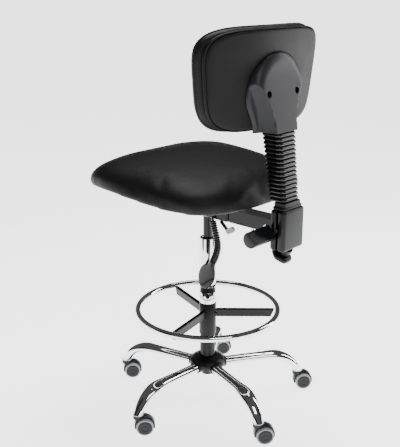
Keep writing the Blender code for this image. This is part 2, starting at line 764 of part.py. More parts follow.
def make_neck(bracket, finishes):
    neck = loft(
        "bellows_neck",
        [[(x, 0.2800 + y, z) for x, y in rounded_rectangle(half_x, half_y, 0.005)] for half_x, half_y, z in (
            (0.0400, 0.0200, NECK_Z[0]), (0.0400, 0.0200, 0.6720), (0.0365, 0.0180, 0.6740),
            (0.0365, 0.0180, NECK_Z[1]))],
        finishes["plastic"], bracket)
    hole = leaning_block("neck_hole", UPRIGHT_HALF_W + 0.001, UPRIGHT_HALF_T + 0.001, 0.6600, 0.6900,
                         finishes["plastic"], bracket)
    combine(neck, hole, "DIFFERENCE")


def bellows_half(z):
    """Half width and half depth of the bellows at a height."""
    share = (z - BELLOWS_Z[0]) / (BELLOWS_Z[1] - BELLOWS_Z[0])
    return BELLOWS_HALF[0] + 0.0040 * share, BELLOWS_HALF[1] + 0.0045 * share


def make_bellows(bracket, finishes):
    outside = []
    levels = 2 * BELLOWS_RIBS
    for level in range(levels + 1):
        z = BELLOWS_Z[0] + (BELLOWS_Z[1] - BELLOWS_Z[0]) * level / levels
        half_x, half_y = bellows_half(z)
        inset = 0.0 if level % 2 else 0.0045
        outline = rounded_rectangle(half_x - inset, half_y - inset, 0.0080 - inset / 2)
        outside.append([(x, lean_y(z) + y, z) for x, y in outline])
    inside = []
    for share in (1.0, 0.5, 0.0):
        z = BELLOWS_Z[0] + (BELLOWS_Z[1] - BELLOWS_Z[0]) * share
        half_x, half_y = bellows_half(z)
        outline = rounded_rectangle(half_x - 0.0070, half_y - 0.0070, 0.006)
        inside.append([(x, lean_y(z) + y, z) for x, y in outline])
    loop("back_bellows", outside + inside, finishes["rubber"], bracket, smooth_deg=20)


def make_handle(handle, finishes):
    """A D-section bar along X; its flat side faces up and back."""
    centre_y, centre_z = HANDLE_CENTRE
    lean = math.radians(HANDLE_LEAN_DEG)
    half_open = math.acos(HANDLE_FLAT / HANDLE_R)
    rings = []
    for x, shrink in ((HANDLE_X[0], 0.0), (HANDLE_X[1] - 0.002, 0.0), (HANDLE_X[1], 0.002)):
        ring = []
        for step in range(17):
            angle = lean + half_open + (2 * math.pi - 2 * half_open) * step / 16
            reach = HANDLE_R - shrink
            ring.append((x, centre_y + reach * math.cos(angle), centre_z + reach * math.sin(angle)))
        rings.append(ring)
    body = loft("tilt_handle", rings, finishes["plastic"], handle)
    shaft = across_back("tilt_handle_shaft", HANDLE_CENTRE, SHAFT_R, (0.0300, 0.0600),
                        finishes["plastic"], handle)
    combine(body, shaft, "UNION")
    edge = lean + half_open
    for number, x in enumerate((0.0560, 0.1080)):
        reach = HANDLE_R + GAP
        out = Vector((0, math.cos(edge + 0.32), math.sin(edge + 0.32)))
        start = Vector((x, centre_y, centre_z)) + out * reach
        rings = rod_between(start, start + out * 0.0030, 0.0042, 10)
        loft(f"handle_screw_{number + 1}", rings, finishes["screw"], handle)


def knob_point(along):
    """A point on the tilted knob axis, along metres below the bracket's underside."""
    tilt = math.radians(KNOB_TILT_DEG)
    return (0.0, 0.2830 - along * math.sin(tilt), BOX_Z[0] - along * math.cos(tilt))


def make_knob(bracket, knob, finishes):
    turn = (-math.radians(KNOB_TILT_DEG), 0, 0)
    base = knob_point(0.0)
    profile = [(0.0046, 0.010), (0.0175, 0.010), (0.0175, -0.0150), (0.0160, -0.0170), (0.0046, -0.0170)]
    boss = turned_tube("knob_boss", profile, 24, finishes["plastic"], bracket, location=base, rotation=turn)
    over = box("boss_trim", (-0.05, 0.20, BOX_Z[0] - GAP), (0.05, 0.36, 0.60), 0.001, finishes["plastic"],
               bracket)
    combine(boss, over, "DIFFERENCE")
    rings = []
    for radius, z, lobes in ((0.0180, 0.0075, 0.0), (KNOB_R - 0.002, 0.0060, 1.0), (KNOB_R, 0.0, 1.0),
                             (KNOB_R - 0.002, -0.0060, 1.0), (0.0180, -0.0075, 0.0)):
        ring = []
        for i in range(30):
            angle = 2 * math.pi * i / 30
            reach = radius * (1 - lobes * 0.035 * (1 - math.cos(6 * angle)))
            ring.append((reach * math.cos(angle), reach * math.sin(angle), z - KNOB_DROP))
        rings.append(ring)
    wheel = loft("tension_knob", rings, finishes["plastic"], knob, location=base, rotation=turn)
    stem = turned("tension_stem", [(0.0040, -0.0250), (0.0040, -0.0040)], 12, finishes["plastic"], knob,
                  location=base, rotation=turn)
    combine(wheel, stem, "UNION")


# ---------------------------------------------------------------- backrest

def back_point(x, up, behind):
    """A point of the curved, reclined back: up from its middle, behind its rear surface."""
    recline = math.radians(BACK_RECLINE_DEG)
    y = BACK_REAR_Y + up * math.sin(recline) + behind * math.cos(recline) - BACK_CURVE * x * x
    z = BACK_MID_Z + up * math.cos(recline) - behind * math.sin(recline)
    return x, y, z


def back_ring(scale, behind, sides=28, half_w=BACK_HALF_W, half_h=BACK_HALF_H):
    points = []
    for x, y in superellipse(BACK_POWER, sides):
        wide = (half_w + BACK_FLARE * y * scale) * scale * x
        points.append(back_point(wide, half_h * scale * y, behind))
    return points


def make_backrest(back, finishes):
    panel = [back_ring(s, d) for s, d in (
        (0.10, 0.0), (0.35, 0.0), (0.60, 0.0), (0.90, 0.0), (0.93, -0.0020), (0.93, -PANEL_T), (0.60, -PANEL_T),
        (0.35, -PANEL_T), (0.10, -PANEL_T))]
    loft("back_panel", panel, finishes["leather"], back, smooth_deg=50)
    near = -PANEL_T - BACK_GAP
    far = -PANEL_T - CUSHION_T
    cushion = [back_ring(s, d) for s, d in (
        (0.10, near), (0.35, near), (0.60, near), (0.93, near), (0.985, near - 0.004), (1.0, near - 0.014),
        (0.99, far + 0.020), (0.95, far + 0.008), (0.88, far + 0.002), (0.60, far), (0.35, far), (0.10, far))]
    loft("back_cushion", cushion, finishes["leather"], back, smooth_deg=50)


def cover_base_half(z):
    """Half width of the back cover where it meets the panel: a round top that narrows to a neck."""
    if z >= COVER_CENTRE_Z:
        return math.sqrt(max(0.0, COVER_R ** 2 - (z - COVER_CENTRE_Z) ** 2))
    share = (COVER_CENTRE_Z - z) / (COVER_CENTRE_Z - COVER_Z[0])
    return COVER_R + (COVER_NECK_HALF - COVER_R) * (3 * share * share - 2 * share ** 3)


def panel_y(x, z):
    """Y of the back panel's rear surface."""
    up = z - BACK_MID_Z
    return BACK_REAR_Y + up * math.tan(math.radians(BACK_RECLINE_DEG)) - BACK_CURVE * x * x


def cover_y(x, z):
    """Y of the cover's rear face: a dome above, a raised tongue with a scoop each side below."""
    base = panel_y(x, z) + COVER_GAP
    rise = max(0.0, TONGUE_Y - TONGUE_SLOPE * (z - COVER_Z[0]) - panel_y(0.0, z))
    top = panel_y(0.0, z) + math.hypot(rise, DOME_RISE)
    if z >= COVER_CENTRE_Z:
        inside = COVER_R - math.hypot(x, z - COVER_CENTRE_Z)
    else:
        inside = cover_base_half(z) - abs(x)
    shoulder = math.sqrt(max(0.0, 1 - (1 - min(1.0, max(0.0, inside / SHOULDER_W))) ** 2.3))
    skirt = SKIRT_SHARE * math.sqrt(max(0.0, 1 - (1 - min(1.0, max(0.0, inside / SKIRT_W))) ** 2))
    edge = TONGUE_HALF + TONGUE_FLARE * (z - COVER_Z[0])
    drop = eased((abs(x) - edge) / SCOOP_W) * eased((SCOOP_TOP_Z - z) / SCOOP_RUN)
    return base + (top - base) * (shoulder * (1 - drop) + skirt * drop)


def make_cover(back, finishes):
    rings = []
    shares = (1.0, 0.97, 0.90, 0.78, 0.64, 0.50, 0.0)
    columns = list(shares) + [-share for share in reversed(shares[:-1])]
    for step in (0.0, 0.12, 0.24, 0.36, 0.48, 0.60, 0.72, 0.83, 0.91, 0.96, 0.985, 0.997):
        z = COVER_Z[0] + (COVER_Z[1] - COVER_Z[0]) * step
        half = cover_base_half(z)
        rear = [(half * c, cover_y(half * c, z), z) for c in columns]
        near = [(-half * c, panel_y(half * c, z) + COVER_GAP / 2, z) for c in (1.0, 0.6, 0.0, -0.6, -1.0)]
        rings.append(rear + near)
    cover = loft("back_cover", rings, finishes["plastic"], back, smooth_deg=40)
    slot = leaning_block("upright_slot", UPRIGHT_HALF_W + 0.0005, UPRIGHT_HALF_T + 0.0005, 0.8500, 0.9530,
                         finishes["plastic"], back)
    combine(cover, slot, "DIFFERENCE")
    for number, x in enumerate((0.0580, -0.0580)):
        z = COVER_SCREW_Z
        face = cover_y(x, z)
        hole = loft(f"screw_hole_{number + 1}",
                    rod_between((x, face + 0.02, z), (x, face - 0.0080, z), 0.0055), finishes["plastic"], back)
        combine(cover, hole, "DIFFERENCE")
        loft(f"cover_screw_{number + 1}",
             rod_between((x, face - 0.0076, z), (x, face - 0.0046, z), 0.0048), finishes["screw"], back)


# ---------------------------------------------------------------- assembly

def main():
    clear_scene()
    finishes = {
        "plastic": material("dark_plastic", (0.045, 0.045, 0.050), 0.45),
        "gloss": material("gloss_plastic", (0.015, 0.015, 0.016), 0.15),
        "grey": material("pale_plastic", (0.62, 0.63, 0.64), 0.45),
        "chrome": material("chrome", (0.82, 0.82, 0.83), 0.06, 1.0),
        "steel": material("black_steel", (0.025, 0.025, 0.027), 0.35, 0.4),
        "screw": material("zinc_screw", (0.65, 0.65, 0.66), 0.30, 1.0),
        "rubber": material("black_rubber", (0.018, 0.018, 0.019), 0.35),
        "tread": material("caster_tread", (0.10, 0.10, 0.11), 0.55),
        "leather": material("black_leatherette", (0.020, 0.020, 0.021), 0.55),
    }
    root = empty("column_axis", (COLUMN_X, COLUMN_Y, 0))
    make_hub(root, finishes["plastic"])
    first_leg = make_leg(0, root, finishes["chrome"], None)
    make_plug(0, root, finishes["grey"])
    for number in range(1, LEGS):
        make_leg(number, root, finishes["chrome"], first_leg.data)
        make_plug(number, root, finishes["grey"])
    make_casters(root, finishes["plastic"], finishes["tread"])

    lift = empty("seat_height_axis", parent=root)
    make_column(root, lift, finishes)
    make_foot_ring(empty("foot_ring_axis", parent=root), finishes)

    frame = empty("seat_swivel_axis", parent=lift)
    seat_plane = empty("seat_plane", (0, 0, SEAT_MID_Z), (-math.radians(SEAT_TILT_DEG), 0, 0), frame)
    make_seat(seat_plane, finishes)
    make_mechanism(frame, seat_plane, finishes)
    make_back_bar(frame, finishes)
    make_lock_screw(frame, finishes)
    make_lift_lever(empty("lift_lever_axis", parent=frame), finishes)

    bracket = empty("back_tilt_axis", parent=frame)
    make_bracket_shells(bracket, finishes)
    make_neck(bracket, finishes)
    leaning_block("back_upright", UPRIGHT_HALF_W, UPRIGHT_HALF_T, *UPRIGHT_Z, finishes["steel"], bracket)
    make_bellows(bracket, finishes)
    make_handle(empty("tilt_handle_axis", parent=bracket), finishes)
    make_knob(bracket, empty("tension_knob_axis", parent=bracket), finishes)

    back = empty("back_height_axis", parent=bracket)
    make_backrest(back, finishes)
    make_cover(back, finishes)


main()
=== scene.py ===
"""Looks for the drafting chair: detailed pieces, materials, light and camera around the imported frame."""

import math

import bmesh
import bpy
from mathutils import Matrix, Vector


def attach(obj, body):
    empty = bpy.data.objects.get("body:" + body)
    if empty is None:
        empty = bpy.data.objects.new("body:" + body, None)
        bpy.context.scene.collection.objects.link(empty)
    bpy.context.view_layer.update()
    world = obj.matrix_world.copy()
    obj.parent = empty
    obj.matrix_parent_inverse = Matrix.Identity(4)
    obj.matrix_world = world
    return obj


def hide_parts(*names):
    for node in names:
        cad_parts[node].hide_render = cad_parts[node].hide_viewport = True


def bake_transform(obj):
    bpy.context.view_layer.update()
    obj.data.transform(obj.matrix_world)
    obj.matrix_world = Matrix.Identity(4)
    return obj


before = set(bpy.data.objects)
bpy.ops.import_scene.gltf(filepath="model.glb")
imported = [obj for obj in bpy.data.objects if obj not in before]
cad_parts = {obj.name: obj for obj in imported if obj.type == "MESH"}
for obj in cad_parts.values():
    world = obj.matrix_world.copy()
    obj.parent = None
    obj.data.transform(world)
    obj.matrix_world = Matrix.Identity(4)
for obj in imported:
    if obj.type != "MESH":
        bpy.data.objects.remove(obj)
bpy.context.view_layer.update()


# Column axis in the frame; every shape below is drawn round the column and then moved there.
COLUMN = Vector((-0.0125, -0.0110, 0.0))
GAP = 0.0003
LEGS = 5
STEM_R = 0.2890
TRAIL = 0.0180
TRAIL_TURN = math.radians(138.0)
WHEEL_R = 0.0250
LEAN = -0.1400
RING_R = 0.2095
RING_TUBE_R = 0.0090
BACK_MID_Z = 0.9950
BACK_HALF_W = 0.2290
BACK_HALF_H = 0.1305
BACK_POWER = 4.6
BACK_FLARE = 0.0165
RECLINE = math.radians(4.68)
COVER_Z = (0.8640, 1.0640)
COVER_CENTRE_Z = 0.9570
COVER_R = 0.1070
COVER_NECK_HALF = 0.0750
COVER_SCREW_X = 0.0580
COVER_SCREW_Z = 0.9630
BACK_Y = 0.2312
BACK_CURVE = 0.80
SEAT_HALF_W = 0.2680
SEAT_HALF_D = 0.2528
SEAT_MID_Y = -0.0396
SEAT_POWER = 3.63
SEAT_FLARE = 0.054
SEAT_FRONT_START = 0.3
SEAT_FRONT_DROP = 0.0338
CLOTH_FRAMES = 14
LEG_START = (0.0360, 0.1125)
LEG_BEND = (0.1970, 0.1190)
LEG_BEND_R = 0.0950
LEG_BEND_TURN = math.radians(60)
LEG_HALF_W = 0.0170
LEG_HALF_H = 0.0130
LEG_BULGE_W = 0.0050
LEG_BULGE_R = 0.2250
LEG_BULGE_RUN = 0.0650
LEG_RISE = math.atan2(LEG_BEND[1] - LEG_START[1], LEG_BEND[0] - LEG_START[0])
CAMERA_PLACE = Vector((1.5780, 1.4170, 1.2332))
CAMERA_HEADING = (-0.7367, -0.6762)
CAMERA_PITCH = math.radians(17.609)
FLOOR_GLOW = 2.8
TENT_R = 60.0
# The floor's side in dome radii; its corners stay inside the dome.
FLOOR_SHARE = 1.4
TENT_GLOW = 0.07
BACKDROP_LIGHT = 2.8


# ---------------------------------------------------------------- materials

def node_material(name, colour, roughness, metallic=0.0, specular=0.5):
    made = bpy.data.materials.new(name)
    made.use_nodes = True
    shader = made.node_tree.nodes["Principled BSDF"]
    shader.inputs["Base Color"].default_value = (*colour, 1.0)
    shader.inputs["Roughness"].default_value = roughness
    shader.inputs["Metallic"].default_value = metallic
    shader.inputs["Specular IOR Level"].default_value = specular
    return made, made.node_tree, shader


def texture(tree, kind, scale, **settings):
    coordinates = tree.nodes.new("ShaderNodeTexCoord")
    made = tree.nodes.new(kind)
    made.inputs["Scale"].default_value = scale
    for key, value in settings.items():
        made.inputs[key].default_value = value
    tree.links.new(coordinates.outputs["Object"], made.inputs["Vector"])
    return made


def spread(tree, source, low, high):
    """The source's 0 to 1 mapped to a range."""
    made = tree.nodes.new("ShaderNodeMapRange")
    made.inputs["To Min"].default_value = low
    made.inputs["To Max"].default_value = high
    tree.links.new(source, made.inputs["Value"])
    return made.outputs["Result"]


def add_bump(tree, shader, layers):
    """Stacks bump layers of (height output, strength, distance) on the shader's normal."""
    last = None
    for height, strength, distance in layers:
        bump = tree.nodes.new("ShaderNodeBump")
        bump.inputs["Strength"].default_value = strength
        bump.inputs["Distance"].default_value = distance
        tree.links.new(height, bump.inputs["Height"])
        if last:
            tree.links.new(last, bump.inputs["Normal"])
        last = bump.outputs["Normal"]
    tree.links.new(last, shader.inputs["Normal"])


def leatherette(name, colour):
    made, tree, shader = node_material(name, colour, 0.50, specular=0.16)
    pebble = texture(tree, "ShaderNodeTexVoronoi", 620.0)
    soft = texture(tree, "ShaderNodeTexNoise", 900.0, Detail=3.0)
    broad = texture(tree, "ShaderNodeTexNoise", 14.0, Detail=4.0)
    tree.links.new(spread(tree, broad.outputs["Fac"], 0.42, 0.60), shader.inputs["Roughness"])
    add_bump(tree, shader, ((pebble.outputs["Distance"], 0.30, 0.0006), (soft.outputs["Fac"], 0.18, 0.0004)))
    return made


def moulded(name, colour, roughness, grain=0.16, specular=0.22):
    """Plastic or powder coat with a fine spark-eroded grain."""
    made, tree, shader = node_material(name, colour, roughness, specular=specular)
    fine = texture(tree, "ShaderNodeTexNoise", 1500.0, Detail=2.0)
    broad = texture(tree, "ShaderNodeTexNoise", 22.0, Detail=3.0)
    low, high = roughness - 0.05, roughness + 0.05
    tree.links.new(spread(tree, broad.outputs["Fac"], low, high), shader.inputs["Roughness"])
    add_bump(tree, shader, ((fine.outputs["Fac"], grain, 0.0003),))
    return made


def metal(name, colour, roughness, wander=0.02):
    made, tree, shader = node_material(name, colour, roughness, metallic=1.0)
    smudge = texture(tree, "ShaderNodeTexNoise", 30.0, Detail=4.0)
    result = spread(tree, smudge.outputs["Fac"], max(0.02, roughness - wander), roughness + wander)
    tree.links.new(result, shader.inputs["Roughness"])
    return made


MAT = {
    "leather": leatherette("seat_leatherette", (0.0060, 0.0060, 0.0061)),
    # Painted shade: a darker copy of the seat leatherette for the back's rear panel and the seat's underside;
    # the extra darkness stands in for shade.
    "panel": leatherette("leatherette_painted_shade", (0.0035, 0.0035, 0.0035)),
    "piping": moulded("welt_vinyl", (0.010, 0.010, 0.010), 0.38, 0.10),
    "plastic": moulded("satin_grey_plastic", (0.015, 0.015, 0.0175), 0.38),
    "black": moulded("satin_black_plastic", (0.0055, 0.0055, 0.0065), 0.36),
    "powder": moulded("dark_powder_coat", (0.0065, 0.0065, 0.0072), 0.34, 0.22),
    "hood": moulded("caster_hood_plastic", (0.014, 0.014, 0.016), 0.32),
    "disc": moulded("caster_disc_plastic", (0.016, 0.016, 0.018), 0.42),
    "tread": moulded("caster_soft_tread", (0.30, 0.31, 0.32), 0.55, 0.10),
    # Pale socket inserts at the leg ends: the pale colour is partly the insert's own and partly a painted
    # highlight for the chrome leg's bright edge reflection.
    "pale": moulded("pale_plastic_and_painted_highlight", (0.50, 0.51, 0.53), 0.42, 0.08),
    "gloss": moulded("gloss_black_plastic", (0.0040, 0.0040, 0.0045), 0.12, 0.02, specular=0.22),
    "rubber": moulded("bellows_rubber", (0.0040, 0.0040, 0.0045), 0.20, 0.06, specular=0.45),
    "chrome": metal("chrome_plate", (0.84, 0.845, 0.855), 0.045, 0.015),
    "steel": moulded("black_enamel", (0.0060, 0.0060, 0.0065), 0.26, 0.05),
    "rod": metal("blackened_rod", (0.10, 0.10, 0.105), 0.22),
    "screw": metal("zinc_plate", (0.62, 0.62, 0.63), 0.26, 0.05),
    # Painted shade: a near-black, unreflecting colour that stands in for the shade inside screw holes and in
    # the seam between the box halves.
    "hole": moulded("hole_painted_shade", (0.001, 0.001, 0.001), 0.70, specular=0.0),
}


# ---------------------------------------------------------------- mesh helpers

def piece(name, points, faces, mats, body, replaced=(), matrix=None, slot=None, smooth_deg=38.0, bevel=0.0,
          face_mats=None):
    """A visible piece: built round the column axis, moved into the frame and set to ride on a body, if any."""
    mesh = bpy.data.meshes.new(name)
    mesh.from_pydata([tuple(p) for p in points], [], [tuple(f) for f in faces])
    if matrix is not None:
        mesh.transform(matrix)
    mesh.transform(Matrix.Translation(COLUMN))
    for mat in (mats if isinstance(mats, (list, tuple)) else [mats]):
        mesh.materials.append(MAT[mat])
    if face_mats:
        mesh.polygons.foreach_set("material_index", face_mats)
    bm = bmesh.new()
    bm.from_mesh(mesh)
    bmesh.ops.remove_doubles(bm, verts=bm.verts, dist=1e-6)
    bmesh.ops.recalc_face_normals(bm, faces=bm.faces)
    bm.to_mesh(mesh)
    bm.free()
    mesh.shade_smooth()
    mesh.set_sharp_from_angle(angle=math.radians(smooth_deg))
    made = bpy.data.objects.new(name, mesh)
    bpy.context.scene.collection.objects.link(made)
    if bevel:
        edge = made.modifiers.new("edge", "BEVEL")
        edge.width = bevel
        edge.segments = 3
        edge.limit_method = "ANGLE"
        edge.angle_limit = math.radians(35)
        edge.harden_normals = True
    if body:
        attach(made, body)
    if replaced:
        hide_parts(*replaced)
    return made


def ring_faces(count, sides, caps=(True, True), wrap=False):
    faces = []
    for ring in range(count if wrap else count - 1):
        low, high = ring * sides, ((ring + 1) % count) * sides
        for side in range(sides):
            after = (side + 1) % sides
            faces.append((low + side, low + after, high + after, high + side))
    if not wrap and caps[0]:
        faces.append(tuple(reversed(range(sides))))
    if not wrap and caps[1]:
        faces.append(tuple((count - 1) * sides + side for side in range(sides)))
    return faces


def loft(name, rings, mats, body, wrap=False, caps=(True, True), **options):
    points = [p for ring in rings for p in ring]
    return piece(name, points, ring_faces(len(rings), len(rings[0]), caps, wrap), mats, body, **options)


def circle(radius, z, sides):
    steps = [2 * math.pi * i / sides for i in range(sides)]
    return [(radius * math.cos(a), radius * math.sin(a), z) for a in steps]


def lathe(name, profile, mats, body, sides=96, wrap=False, bands=None, **options):
    """Turned round Z from (radius, z) points; bands gives each step's material number."""
    rings = [circle(max(r, 1e-5), z, sides) for r, z in profile]
    points = [p for ring in rings for p in ring]
    faces = ring_faces(len(rings), sides, wrap=wrap)
    numbers = None
    if bands:
        numbers = [bands[min(i // sides, len(bands) - 1)] for i in range(len(faces))]
    return piece(name, points, faces, mats, body, face_mats=numbers, **options)


def rounded(half_x, half_y, radius, steps=8):
    points = []
    for corner, (sx, sy) in enumerate(((1, 1), (-1, 1), (-1, -1), (1, -1))):
        for step in range(steps + 1):
            angle = math.radians(90 * corner + 90 * step / steps)
            points.append((sx * (half_x - radius) + radius * math.cos(angle),
                           sy * (half_y - radius) + radius * math.sin(angle)))
    return points


def soft_box(name, low, high, corner, edge, mats, body, **options):
    """A moulded block: round upright corners and rolled top and bottom edges."""
    mid = [(a + b) / 2 for a, b in zip(low, high)]
    half = [(b - a) / 2 for a, b in zip(low, high)]
    rings = []
    for end in (-1, 1):
        turns = [i / 5 for i in range(6)]
        for t in (turns if end < 0 else turns[::-1]):
            inset = edge * (1 - math.sin(t * math.pi / 2))
            lift = edge * (1 - math.cos(t * math.pi / 2))
            z = mid[2] + end * (half[2] - edge + (edge - lift))
            outline = rounded(half[0] - inset, half[1] - inset, max(corner - inset, 0.0008))
            rings.append([(mid[0] + x, mid[1] + y, z) for x, y in outline])
    return loft(name, rings, mats, body, **options)


def sweep(path, radius, sides=24):
    """Rings round a path; radius is a number or a function of the point's number."""
    rings = []
    normal = None
    for i, centre in enumerate(path):
        tangent = (path[min(i + 1, len(path) - 1)] - path[max(i - 1, 0)]).normalized()
        if normal is None:
            seed = Vector((1, 0, 0)) if abs(tangent.x) < 0.9 else Vector((0, 0, 1))
            normal = tangent.cross(seed).normalized()
        normal = (normal - tangent * normal.dot(tangent)).normalized()
        other = tangent.cross(normal)
        r = radius(i) if callable(radius) else radius
        turns = [2 * math.pi * k / sides for k in range(sides)]
        rings.append([tuple(centre + r * (math.cos(a) * normal + math.sin(a) * other)) for a in turns])
    return rings


def closed_sweep(path, radius, sides=12):
    """Rings round a path that ends where it starts."""
    rings = []
    count = len(path)
    for i, centre in enumerate(path):
        tangent = (path[(i + 1) % count] - path[i - 1]).normalized()
        side = tangent.cross(Vector((0, 0, 1)) if abs(tangent.z) < 0.9 else Vector((1, 0, 0))).normalized()
        other = tangent.cross(side)
        turns = [2 * math.pi * k / sides for k in range(sides)]
        rings.append([tuple(centre + radius * (math.cos(a) * side + math.sin(a) * other)) for a in turns])
    return rings


def smooth(route, count):
    """Points on a smooth curve through the route."""
    spans = len(route) - 1
    points = []
    for i in range(count):
        t = spans * i / (count - 1)
        k = min(int(t), spans - 1)
        u = t - k
        p0, p1, p2, p3 = (route[max(0, min(spans, k + j))] for j in (-1, 0, 1, 2))
        points.append(0.5 * ((2 * p1) + (p2 - p0) * u + (2 * p0 - 5 * p1 + 4 * p2 - p3) * u * u
                             + (3 * p1 - p0 - 3 * p2 + p3) * u ** 3))
    return points


def ease(t):
    t = max(0.0, min(1.0, t))
    return t * t * (3 - 2 * t)


def superellipse(power, sides):
    points = []
    for i in range(sides):
        angle = 2 * math.pi * i / sides
        c, s = math.cos(angle), math.sin(angle)
        points.append((math.copysign(abs(c) ** (2 / power), c), math.copysign(abs(s) ** (2 / power), s)))
    return points


def turn_z(angle):
    return Matrix.Rotation(angle, 4, "Z")


def dress(node, mat, bevel=0.0):
    """A CAD piece that keeps its shape and gets a better material."""
    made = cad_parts[node]
    made.data.materials.clear()
    made.data.materials.append(MAT[mat])
    if bevel:
        edge = made.modifiers.new("edge", "BEVEL")
        edge.width = bevel
        edge.segments = 2
        edge.limit_method = "ANGLE"
        edge.angle_limit = math.radians(35)


# ---------------------------------------------------------------- star base

LEG_ANGLES = [math.radians(-72.85 + 72 * k) for k in range(LEGS)]


def leg_stations(steps=36):
    """(radius, height, tangent) along a leg, as the CAD piece runs."""
    run, climb = LEG_BEND[0] - LEG_START[0], LEG_BEND[1] - LEG_START[1]
    stations = [(LEG_START[0] + run * t, LEG_START[1] + climb * t, LEG_RISE) for t in (0.0, 0.3, 0.6, 0.9)]
    for step in range(steps + 1):
        turn = LEG_RISE - (LEG_RISE + LEG_BEND_TURN) * step / steps
        stations.append((LEG_BEND[0] + LEG_BEND_R * (math.sin(LEG_RISE) - math.sin(turn)),
                         LEG_BEND[1] + LEG_BEND_R * (math.cos(turn) - math.cos(LEG_RISE)), turn))
    return stations


def leg_half_width(r):
    return LEG_HALF_W + LEG_BULGE_W * ease(1 - abs(r - LEG_BULGE_R) / LEG_BULGE_RUN)


def leg_ring(r, z, tangent, grow=0.0, sides=48):
    points = []
    for i in range(sides):
        angle = 2 * math.pi * i / sides
        across = (leg_half_width(r) + grow) * math.cos(angle)
        up = (LEG_HALF_H + grow) * math.sin(angle)
        points.append((r - up * math.sin(tangent), across, z + up * math.cos(tangent)))
    return points


def build_base():
    profile = [(0.0150, 0.0800), (0.0183, 0.0800), (0.0191, 0.0804), (0.0195, 0.0812), (0.0195, 0.1075),
               (0.0207, 0.1088), (0.0520, 0.1100), (0.0540, 0.1112), (0.0549, 0.1132), (0.0549, 0.1200),
               (0.0535, 0.1265), (0.0490, 0.1320), (0.0425, 0.1368), (0.0360, 0.1400), (0.0310, 0.1416),
               (0.0300, 0.1424), (0.0250, 0.1425), (0.0242, 0.1424), (0.0236, 0.1418), (0.0236, 0.1100)]
    lathe("hub_shell", profile, "black", "base", replaced=("base_hub",), slot="dark_plastic", smooth_deg=30)
    for k, angle in enumerate(LEG_ANGLES):
        rings = []
        for r, grow in ((0.0180, 0.0034), (0.0535, 0.0034), (0.0552, 0.0028), (0.0560, 0.0016),
                        (0.0558, 0.0003)):
            height = LEG_START[1] + (r - LEG_START[0]) * math.tan(LEG_RISE)
            rings.append(leg_ring(r, height, LEG_RISE, grow))
        loft(f"hub_socket_{k + 1}", rings, "black", "base", caps=(False, False), matrix=turn_z(angle),
             slot="dark_plastic")
        leg = [leg_ring(*station) for station in leg_stations()]
        last, foot = leg[-1], foot_ring_points(0.0608, 0.0150)
        leg += [[tuple(a + (b - a) * ease(t) for a, b in zip(p, q)) for p, q in zip(last, foot)]
                for t in (0.25, 0.5, 0.75, 1.0)]
        loft(f"leg_{k + 1}", leg, "chrome", "base", matrix=turn_z(angle), smooth_deg=50,
             replaced=(f"base_leg_{k + 1}", f"leg_plug_{k + 1}"), slot="chrome")
        # A pale ring at the leg's end: partly a real socket insert, partly a painted highlight standing in for
        # the chrome leg's bright edge reflection.
        rim_profile = ((0.0611, 0.0148), (0.0609, 0.0156), (0.0602, 0.0160), (0.0592, 0.0160), (0.0585, 0.0156),
                       (0.0582, 0.0146))
        rim = [foot_ring_points(z, r) for z, r in rim_profile]
        loft(f"leg_rim_{k + 1}", rim, "pale", "base", matrix=turn_z(angle), slot="pale_plastic")


def foot_ring_points(z, radius, sides=48):
    """A level ring round the caster's stem, its points in step with a leg ring's."""
    return [(STEM_R + radius * math.sin(2 * math.pi * i / sides), radius * math.cos(2 * math.pi * i / sides), z)
            for i in range(sides)]


# ---------------------------------------------------------------- casters

AXLE = Matrix.Translation((TRAIL, 0, WHEEL_R)) @ Matrix.Rotation(math.radians(-90), 4, "X")


def caster_frame(k):
    angle = LEG_ANGLES[k]
    stem = Matrix.Translation((STEM_R * math.cos(angle), STEM_R * math.sin(angle), 0))
    return stem @ turn_z(TRAIL_TURN)


def arc_ring(radius, y, start, end, sides=48):
    """Points on an arc round the axle, from one angle to another."""
    points = []
    for i in range(sides + 1):
        a = start + (end - start) * i / sides
        points.append((TRAIL + radius * math.cos(a), y, WHEEL_R + radius * math.sin(a)))
    return points


